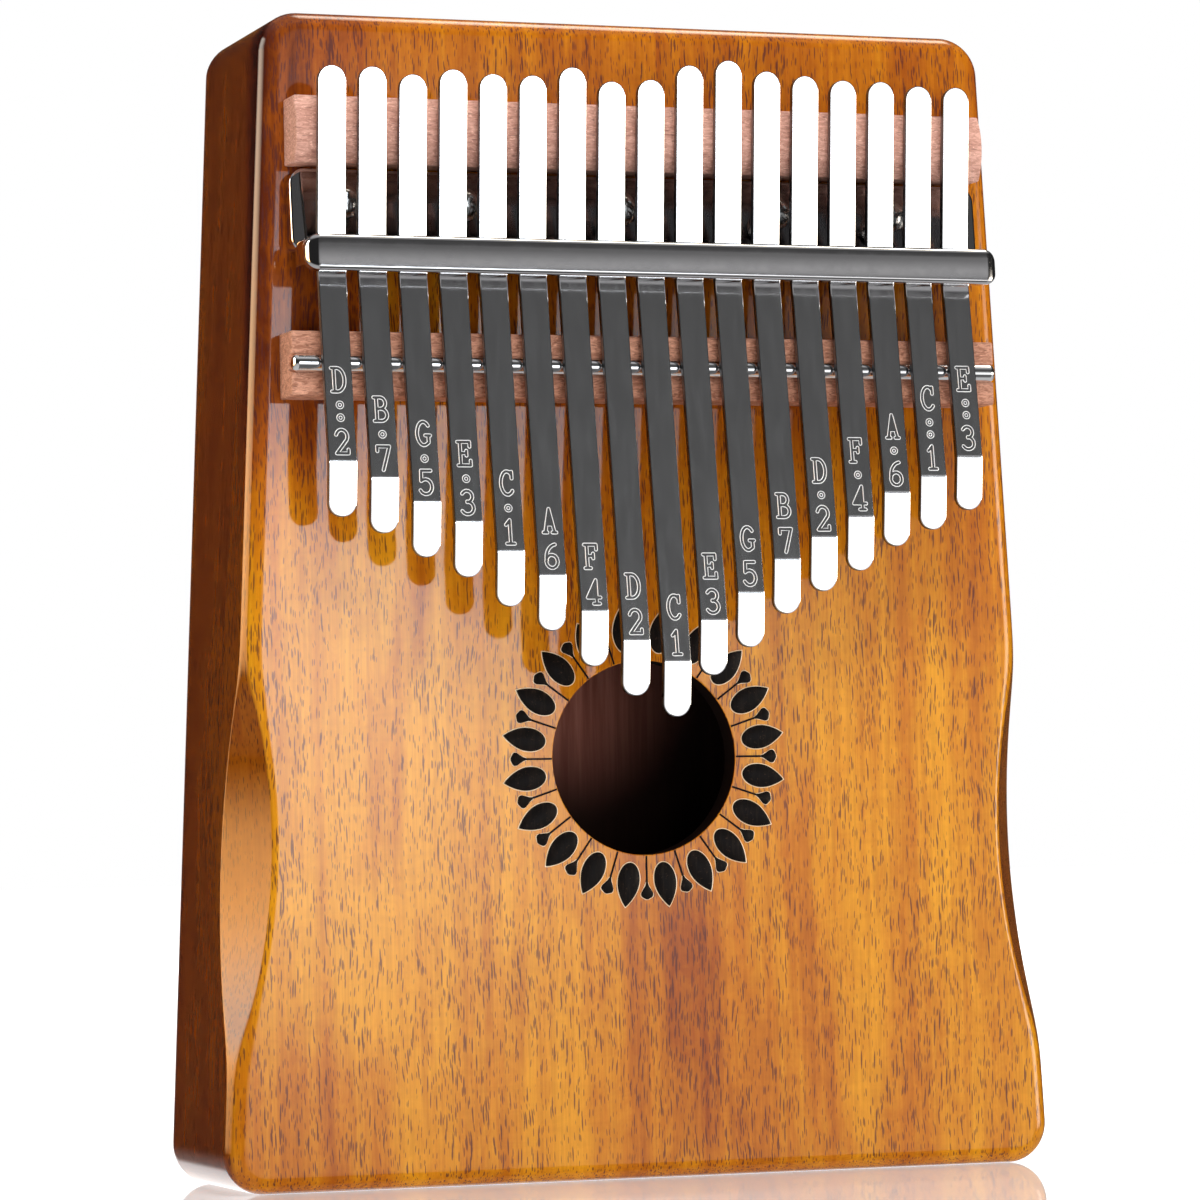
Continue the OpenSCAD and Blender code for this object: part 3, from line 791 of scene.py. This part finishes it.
def make_clamp():
    low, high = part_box("tine_clamp")
    half = high.x / MM
    b = Builder()
    r = BAR_W / 2
    z0, z1 = BAR_Z - r, BAR_Z + r
    front = BAR_H + BAR_DEPTH
    section = [(BAR_Z - r * cos(t), BAR_H + r - r * sin(t)) for t in np.linspace(0, pi, 25)]
    # The front of the bar is a shallow curve: its slope grows from tilt, low down, to lean
    upper, lower, tilt, lean = 1.1, 0.7, 0.038, 0.087
    span = z1 - upper - z0 - lower
    drop = (tilt + lean) / 2 * span
    section += arc_points((z1 - upper, front - drop - upper), upper, 0, pi / 2 - lean, 9)
    for t in np.linspace(1, 0, 9)[1:-1]:
        fall = span * (tilt * t + (lean - tilt) * t * t / 2)
        section.append((z0 + lower + span * t, front - fall))
    section += arc_points((z0 + lower, front - lower), lower, pi / 2 - tilt, pi, 9)
    ends = round_ends(2.2, (BAR_W / 2, BAR_DEPTH / 2 + 0.8), 12)
    sweep(b, section, half, ends)

    corner, edge, thinning = 2.5, 0.4, 0.025
    flange_low, flange_high = BAR_Z + 0.6, REAR_BRIDGE_Z - REAR_BRIDGE_W / 2 - 0.6
    corners = [(-half, flange_low), (half, flange_low), (half, flange_high), (-half, flange_high)]
    top = FRONT_Y - FLANGE_T
    profile = [(0.0, FRONT_Y), (0.0, top + edge)]
    profile += [(edge * (1 - cos(a)), top + edge * (1 - sin(a))) for a in np.linspace(0, pi / 2, 8)[1:]]
    profile += [(edge + 0.3, top)]
    first = len(b.verts)
    plate(b, rounded_path(corners, corner, 8), profile)
    for i, (x, y, z) in enumerate(b.verts[first:], first):
        b.verts[i] = (x, FRONT_Y + (y - FRONT_Y) * (1 - thinning * (z - flange_low)), z)

    pitch = (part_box("tine_02_shank")[0].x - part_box("tine_01_shank")[0].x) / MM
    xs = [(i - (TINES - 2) / 2) * pitch for i in range(TINES - 1)]
    row = pitch * TINES / 2 - (pitch - TINE_W) / 2 + FIT_GAP
    web, low, high = 0.65, BAR_Z - 1.5, BAR_Z + 2.4
    spans = [(x - web, x + web) for x in xs] + [(row, half - 0.6), (-half + 0.6, -row)]
    for x0, x1 in spans:
        outline = rounded_path([(x0, low), (x1, low), (x1, high), (x0, high)], 0.3, 3)
        plate(b, outline, [(0.0, top + 0.6), (0.0, FRONT_Y - BAR_H - 1.6)])
    clamp = b.make("clamp", [CHROME], sharp=40)
    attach(clamp, "box")
    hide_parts("tine_clamp")

    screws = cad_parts["clamp_screws"]
    screws.data.materials.clear()
    screws.data.materials.append(SCREW)
    screws.data.polygons.foreach_set("material_index", [0] * len(screws.data.polygons))


# ---- tines -----------------------------------------------------------------------------------------


def soft_ramp(t, width):
    """max(0, t) with a round corner of this half width."""
    if t <= -width:
        return 0.0
    if t >= width:
        return t
    return (t + width) ** 2 / (4 * width)


def underside(z, knee):
    """Height of a tine's underside, with its bends at the bar and at the tip a little rounded."""
    line = ROD_LINE + RISE * (ROD_Z - z)
    line += (RISE + REAR_SLOPE) * soft_ramp(z - BAR_Z, 1.0)
    return line - (RISE + TIP_DROP) * soft_ramp(knee - z, 0.35)


def tine_stations(tip, rear, knee):
    """(z, half width, outward x, outward z) from the tip to the rear end."""
    r = TINE_W / 2
    arc = [pi / 2 * k / 12 for k in range(13)]
    found = [(tip + r * (1 - cos(a)), r * sin(a), sin(a), -cos(a)) for a in arc]
    bends = [z for k in np.linspace(-1, 1, 7) for z in (knee + 0.4 * k, BAR_Z + 1.1 * k)]
    plain = list(np.arange(tip + r + 1.5, rear - r - 1.0, 2.0))
    zs = sorted({round(z, 3) for z in bends + plain if tip + r + 0.1 < z < rear - r - 0.1})
    found += [(z, r, 1.0, 0.0) for z in zs]
    found += [(rear - r * (1 - cos(a)), r * sin(a), sin(a), cos(a)) for a in reversed(arc)]
    return found


def tine_strip(b, x, tip, rear, knee):
    """The bent strip, with bevelled edges. The sides between the bevels have the cut edge's dark material,
    which is painted shade that makes a thin dark line along each edge.
    """
    bevel, drop = 0.12, 0.05
    profile = [(bevel + 0.1, TINE_T), (bevel, TINE_T), (0.0, TINE_T - drop), (0.0, drop), (bevel, 0.0)]
    stations = tine_stations(tip, rear, knee)
    steel, cut, side = 0, 2, 2
    verts, faces, slots, k = [], [], [], len(profile)
    for sign in (1, -1):
        for z, half, nx, nz in stations:
            for inset, h in profile:
                zi = z - inset * nz
                verts.append(on_front(x + sign * max(0.0, half - inset * nx), zi, underside(zi, knee) + h))
    n = len(stations)
    for s in range(2):
        for j in range(n - 1):
            for m in range(k - 1):
                p = (s * n + j) * k + m
                faces.append((p, p + k, p + k + 1, p + 1))
                slots.append(cut if m == side else steel)
    for j in range(n - 1):
        for m in (0, k - 1):
            p, q = j * k + m, (n + j) * k + m
            faces.append((p, p + k, q + k, q))
            slots.append(steel)
    b.add(verts, faces, slots)


def bow(cx, cz, rx, rz, first, last, steps=9):
    """Points along part of an ellipse, between two angles in degrees."""
    turns = [radians(first + (last - first) * k / steps) for k in range(steps + 1)]
    return [(cx + rx * cos(a), cz + rz * sin(a)) for a in turns]


# Strokes of the generic note letters and numerals, in a box 0.64 wide and 1 high
GLYPHS = {
    "A": [[(0.02, 0), (0.2, 0)], [(0.44, 0), (0.62, 0)], [(0.1, 0), (0.32, 1), (0.54, 0)],
          [(0.18, 0.34), (0.46, 0.34)]],
    "B": [[(0, 0), (0.3, 0), *bow(0.32, 0.26, 0.27, 0.26, -90, 90), (0.12, 0.52)],
          [(0, 1), (0.28, 1), *bow(0.3, 0.76, 0.23, 0.24, 90, -90), (0.12, 0.52)], [(0.12, 0), (0.12, 1)]],
    "C": [[*bow(0.34, 0.5, 0.3, 0.5, 42, 318, 14)], [(0.56, 0.7), (0.56, 0.98)]],
    "D": [[(0, 0), (0.24, 0), *bow(0.26, 0.5, 0.34, 0.5, -90, 90, 12), (0, 1)], [(0.12, 0), (0.12, 1)]],
    "E": [[(0, 0), (0.58, 0), (0.58, 0.2)], [(0, 1), (0.56, 1), (0.56, 0.8)], [(0.12, 0), (0.12, 1)],
          [(0.12, 0.52), (0.4, 0.52)], [(0.4, 0.42), (0.4, 0.62)]],
    "F": [[(0, 0), (0.26, 0)], [(0, 1), (0.56, 1), (0.56, 0.8)], [(0.12, 0), (0.12, 1)],
          [(0.12, 0.52), (0.4, 0.52)], [(0.4, 0.42), (0.4, 0.62)]],
    "G": [[*bow(0.34, 0.5, 0.3, 0.5, 42, 300, 14), (0.56, 0.12), (0.56, 0.42)],
          [(0.42, 0.42), (0.64, 0.42)]],
    "1": [[(0.16, 0.8), (0.34, 1), (0.34, 0)], [(0.16, 0), (0.52, 0)]],
    "2": [[*bow(0.32, 0.72, 0.26, 0.28, 165, -30, 9), (0.06, 0), (0.6, 0), (0.6, 0.16)]],
    "3": [[*bow(0.3, 0.76, 0.25, 0.24, 150, -90, 9), *bow(0.3, 0.27, 0.29, 0.27, 90, -150, 10)]],
    "4": [[(0.62, 0.26), (0.02, 0.26), (0.44, 1), (0.44, 0)], [(0.3, 0), (0.58, 0)]],
    "5": [[(0.56, 1), (0.12, 1), (0.1, 0.56), *bow(0.3, 0.32, 0.29, 0.32, 110, -150, 11)]],
    "6": [[*bow(0.56, 0.42, 0.48, 0.58, 96, 190, 8), *bow(0.33, 0.28, 0.27, 0.28, 180, 540, 14)]],
    "7": [[(0.04, 0.8), (0.04, 1), (0.6, 1), (0.28, 0)]],
}
NOTES = ["D2:2", "B1:7", "G1:5", "E1:3", "C1:1", "A0:6", "F0:4", "D0:2", "C0:1",
         "E0:3", "G0:5", "B0:7", "D1:2", "F1:4", "A1:6", "C2:1", "E2:3"]
MARK_FOOT = 1.0
RIDGE_HALF_W, RIDGE_H = 0.085, 0.06
POINT_GAP = 0.09
MARK_H = 4.2
MARK_W = 3.5
STROKE = 0.25
RING_R, PIP_R, RING_PITCH = 0.62, 0.26, 2.0


def union_outlines(strokes):
    """The outlines, as closed loops, of strokes with round ends drawn over each other."""
    verts, faces = [], []

    def polygon(points):
        faces.append(tuple(range(len(verts), len(verts) + len(points))))
        verts.extend(Vector(p) for p in points)

    for stroke in strokes:
        for p in stroke:
            turns = np.arange(14) * pi / 7 + 0.11
            polygon([(p[0] + STROKE * cos(a), p[1] + STROKE * sin(a)) for a in turns])
        for p, q in zip(stroke, stroke[1:]):
            along = (Vector(q) - Vector(p)).normalized() * STROKE
            side = Vector((-along.y, along.x)) * 0.985
            polygon([Vector(p) - side, Vector(q) - side, Vector(q) + side, Vector(p) + side])
    out, _, tris, _, _, owners = delaunay_2d_cdt(verts, [], faces, 1, 1e-5)
    uses = {}
    for tri, owner in zip(tris, owners):
        if owner:
            for i in range(len(tri)):
                e = (tri[i], tri[(i + 1) % len(tri)])
                uses[e] = uses.get(e, 0) + 1
    following = {a: c for a, c in uses if (c, a) not in uses}
    loops = []
    while following:
        start, at = next(iter(following.items()))
        loop = [start]
        del following[start]
        while at != start and at in following:
            loop.append(at)
            at = following.pop(at)
        if len(loop) > 5:
            loops.append(thinned([tuple(out[i]) for i in loop]))
    return loops


def thinned(points):
    kept = [points[0]]
    for p in points[1:]:
        if (Vector(p) - Vector(kept[-1])).length >= POINT_GAP:
            kept.append(p)
    return kept


def mark_loops(text):
    """Outlines of one tine's marking, standing on z = 0: numeral, octave rings, then the letter."""
    letter, dots, numeral = text[0], int(text[1]), text[3]
    loops = list(outlines_of(numeral))
    at = MARK_H + 0.9
    for _ in range(dots):
        for r in (RING_R, PIP_R):
            loops.append([(r * cos(a), at + 0.75 + r * sin(a)) for a in np.arange(14) * pi / 7])
        at += RING_PITCH
    at += 0.6 if dots else 0.5
    return loops + [[(x, z + at) for x, z in loop] for loop in outlines_of(letter)]


outline_store = {}


def outlines_of(character):
    if character not in outline_store:
        tall = MARK_H - 2 * STROKE
        strokes = [[((x - 0.32) * MARK_W, STROKE + z * tall) for x, z in s] for s in GLYPHS[character]]
        outline_store[character] = union_outlines(strokes)
    return outline_store[character]


def ridge(b, loop, x, z, knee):
    """A fine ridge that follows a loop on the tine's upper face."""
    path = outward(loop)
    n = len(path)
    verts = []
    half_foot, half_top = RIDGE_HALF_W, RIDGE_HALF_W * 0.4
    section = [(-half_foot, -0.02), (-half_top, RIDGE_H), (half_top, RIDGE_H), (half_foot, -0.02)]
    rows = len(section)
    for inset, h in section:
        for px, pz, nx, nz in path:
            zz = z + pz - inset * nz
            verts.append(on_front(x + px - inset * nx, zz, underside(zz, knee) + TINE_T + h))
    faces = ring_quads(n, rows)
    faces += [((rows - 1) * n + j, (rows - 1) * n + (j + 1) % n, (j + 1) % n, j) for j in range(n)]
    b.add(verts, faces, 1)


def make_tines():
    for i in range(TINES):
        name = f"tine_{i + 1:02d}"
        shank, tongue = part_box(name + "_shank"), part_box(name + "_tongue")
        x = (shank[0].x + shank[1].x) / 2 / MM
        tip, rear = tongue[0].z / MM, shank[1].z / MM
        knee = tip + TIP_L
        b = Builder()
        tine_strip(b, x, tip, rear, knee)
        for loop in mark_loops(NOTES[i]):
            ridge(b, loop, x, knee + MARK_FOOT, knee)
        tine = b.make(name + "_strip", [STEEL, ETCHED, CUT_EDGE_SHADE], sharp=14, weighted=False)
        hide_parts(name + "_shank", name + "_tongue")
        h = FRONT_Y - underside(ROD_Z, knee)
        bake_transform(tine)


make_body()
make_inlay()
make_bridges()
make_clamp()
make_tines()


# ---- stage, light and camera -----------------------------------------------------------------------


def flat_card(name, corners, material):
    mesh = bpy.data.meshes.new(name)
    mesh.from_pydata([Vector(c) for c in corners], [], [tuple(range(len(corners)))])
    mesh.materials.append(material)
    card = bpy.data.objects.new(name, mesh)
    bpy.context.scene.collection.objects.link(card)
    return card


def glow(n, colour, strength):
    """Finishes a material that only gives off light."""
    black = {"base_color": (0, 0, 0), "roughness": 1.0, "specular_ior_level": 0.0}
    return n.shade(**black, emission_color=colour, emission_strength=strength)


def make_floor():
    """White, with a mirror image that fades out away from the object, where the floor glows instead."""
    n = Nodes("floor_white")
    tone = n.mix(n.noise(n.place((0.002, 0.002, 0.002)), 2), (0.88, 0.88, 0.88), (0.92, 0.92, 0.92))
    metres = n.place((0.001, 0.001, 0.001))
    away = n.add("ShaderNodeVectorMath", {0: metres}, operation="LENGTH").outputs["Value"]
    material = n.shade(
        base_color=tone,
        roughness=0.5,
        specular_ior_level=0.0,
        coat_weight=n.span(away, 0.25, 0.6, 1.0, 0.0),
        coat_roughness=0.03,
        emission_color=(1, 1, 1),
        emission_strength=n.span(away, 0.5, 1.6, 0.25, 1.0),
    )
    s = 6.0
    floor = flat_card("floor", [(-s, -s, 0), (s, -s, 0), (s, s, 0), (-s, s, 0)], material)
    floor.visible_glossy = False


def make_dome():
    """A white surround that only the camera sees, so that it lights and mirrors in nothing."""
    bpy.ops.mesh.primitive_uv_sphere_add(segments=48, ring_count=24, radius=7.5, location=(0, 0, 0))
    dome = bpy.context.object
    dome.name = "surround"
    dome.data.materials.append(glow(Nodes("surround_white"), (1, 1, 1), 1.0))
    dome.visible_diffuse = dome.visible_glossy = False
    dome.visible_transmission = dome.visible_shadow = False


def area_light(name, at, aim, size, power):
    """A soft light that lights surfaces but shows in no mirror image."""
    light = bpy.data.lights.new(name, "AREA")
    light.shape = "RECTANGLE"
    light.size, light.size_y = size
    light.energy = power
    obj = bpy.data.objects.new(name, light)
    obj.location = at
    obj.rotation_euler = (Vector(aim) - Vector(at)).to_track_quat("-Z", "Y").to_euler()
    obj.visible_camera = obj.visible_glossy = False
    bpy.context.scene.collection.objects.link(obj)


def make_world():
    """Surround for mirror images, by direction. In front, to the right: white up to the horizon, darker above
    it, and a bright patch for the sheen on the front's left half. Straight behind: white, low down, for the
    floor. Elsewhere: dark at the horizon, and paler below and overhead."""
    world = bpy.data.worlds.new("studio")
    bpy.context.scene.world = world
    n = Nodes("studio", world)
    coords = n.add("ShaderNodeTexCoord", {}).outputs["Generated"]
    at = n.add("ShaderNodeSeparateXYZ", {"Vector": coords})
    x, y, z = at.outputs["X"], at.outputs["Y"], at.outputs["Z"]
    turn = n.math("ARCTAN2", x, n.math("MULTIPLY", y, -1))

    def by_height(stops):
        """Grey levels from (degrees above the horizon, level) stops."""
        fac = n.math("MULTIPLY", n.math("ADD", z, 1), 0.5)
        return n.ramp(fac, [((sin(radians(a)) + 1) / 2, v / 2) for a, v in stops])

    def sector(angle, first, last, soft_first, soft_last):
        """1 between two angles in degrees, falling to 0 over a soft width outside each."""
        inside = n.span(angle, radians(first - soft_first), radians(first))
        return n.math("MULTIPLY", inside, n.span(angle, radians(last + soft_last), radians(last)))

    low_stops = [(-20, 0.12), (-14, 1.5), (2, 1.5), (5, 0.4), (8, 0.14), (12, 0.5)]
    ahead = by_height([*low_stops, (16, 0.08), (40, 0.075), (60, 0.6)])
    round_about = by_height([(-40, 0.55), (-14, 0.4), (-4, 0.03), (3, 0.02), (36, 0.03), (60, 0.5)])
    window = sector(turn, 6, 32, 10, 14)
    behind = sector(n.math("ARCTAN2", x, y), -6, 28, 4, 9)
    behind = n.math("MULTIPLY", behind, n.span(z, 0.22, 0.14))
    level = n.mix(window, round_about, ahead)
    level = n.mix(behind, level, (0.85, 0.85, 0.85))
    sheen_turn, sheen_half, sheen_z, reach_down, reach_up = radians(15.5), radians(8.0), 0.07, 0.15, 0.105
    across = n.math("DIVIDE", n.math("SUBTRACT", turn, sheen_turn), sheen_half)
    up = n.math("SUBTRACT", z, sheen_z)
    up = n.math("DIVIDE", up, n.span(up, -0.01, 0.01, reach_down, reach_up))
    r = n.math("SQRT", n.math("ADD", n.math("MULTIPLY", across, across), n.math("MULTIPLY", up, up)))
    sheen = n.mix(n.span(r, 0.15, 1.0), (3.7, 4.0, 4.3), (0, 0, 0))
    n.tree.links.new(n.mix(1.0, level, sheen, "ADD"), n.tree.nodes["Background"].inputs["Color"])
    n.tree.nodes["Background"].inputs["Strength"].default_value = 2.0


def mirror_card(name, at, aim, half, peak, colour, fade, rise=None, foot=None):
    """A soft-edged bright panel that shows only in mirror images. rise makes it brighter towards its upper
    end. foot gives its lower part another colour, and a slower fade across that the card's sides cut off."""
    n = Nodes(name)
    local = n.add("ShaderNodeSeparateXYZ", {"Vector": n.add("ShaderNodeTexCoord", {}).outputs["Object"]})
    power = None
    for axis, size, soft in zip("XY", half, fade):
        inner = size * (1 - soft)
        if foot and axis == "X":
            size = n.span(local.outputs["Y"], *foot[2:], foot[1], size)
            inner = n.math("MULTIPLY", size, 1 - soft)
        edge = n.span(n.math("ABSOLUTE", local.outputs[axis]), size, inner, 0, 1)
        power = edge if power is None else n.math("MULTIPLY", power, edge)
    if rise:
        power = n.math("MULTIPLY", power, n.span(local.outputs["Y"], *rise))
    if foot:
        colour = n.mix(n.span(local.outputs["Y"], *foot[2:]), foot[0], colour)
    w, h = half
    material = glow(n, colour, n.math("MULTIPLY", power, peak))
    card = flat_card(name, [(-w, -h, 0), (w, -h, 0), (w, h, 0), (-w, h, 0)], material)
    card.location = at
    card.rotation_euler = (Vector(at) - Vector(aim)).to_track_quat("Z", "Y").to_euler()
    card.visible_camera = card.visible_diffuse = card.visible_shadow = False


def make_camera():
    yaw, pitch, roll = radians(19.7), radians(2.8), radians(-1.1)
    ahead = Vector((sin(yaw) * cos(pitch), cos(yaw) * cos(pitch), sin(pitch)))
    right = ahead.cross(Vector((0, 0, 1))).normalized()
    up = right.cross(ahead)
    right, up = right * cos(roll) + up * sin(roll), up * cos(roll) - right * sin(roll)
    data = bpy.data.cameras.new("camera")
    data.lens = 147.6
    data.sensor_width = 36.0
    camera = bpy.data.objects.new("camera", data)
    matrix = Matrix((right, up, -ahead)).transposed().to_4x4()
    matrix.translation = (-0.271, -0.7553, 0.0539)
    camera.matrix_world = matrix
    bpy.context.scene.collection.objects.link(camera)
    bpy.context.scene.camera = camera


make_floor()
make_dome()
make_world()
make_camera()
mirror_card(
    "left_panel",
    at=(-1.55, 0.42, 0.6),
    aim=(0, 0, 0.6),
    half=(0.8, 0.75),
    peak=11.0,
    colour=(1.0, 0.93, 0.82),
    fade=(0.9, 0.3),
    rise=(-0.65, -0.1, 0.45, 1.0),
    foot=((2.2, 1.15, 0.42), 1.6, -0.4, 0.05),
)
mirror_card("right_panel", (1.36, -0.85, 0.08), (0, 0, 0.1), (0.6, 0.38), 11.0, (1.0, 0.93, 0.8), (0.8, 0.6))
mirror_card("top_panel", (0.45, 0.2, 1.4), (0, 0, 0.18), (0.5, 0.45), 12.0, (1.0, 0.93, 0.78), (0.8, 0.8))
area_light("key", (0.0, -1.05, 1.75), (0, 0, 0.09), (1.0, 0.8), 25)
area_light("fill", (0.2, -1.8, 0.4), (0, 0, 0.09), (1.0, 0.6), 6)
area_light("overhead", (0.35, -0.1, 1.3), (0, 0, 0.1), (0.8, 0.8), 5)
area_light("behind", (0.5, 1.7, 1.0), (0, 0, 0.09), (1.2, 0.8), 18)
bpy.context.scene.view_settings.view_transform = "Standard"
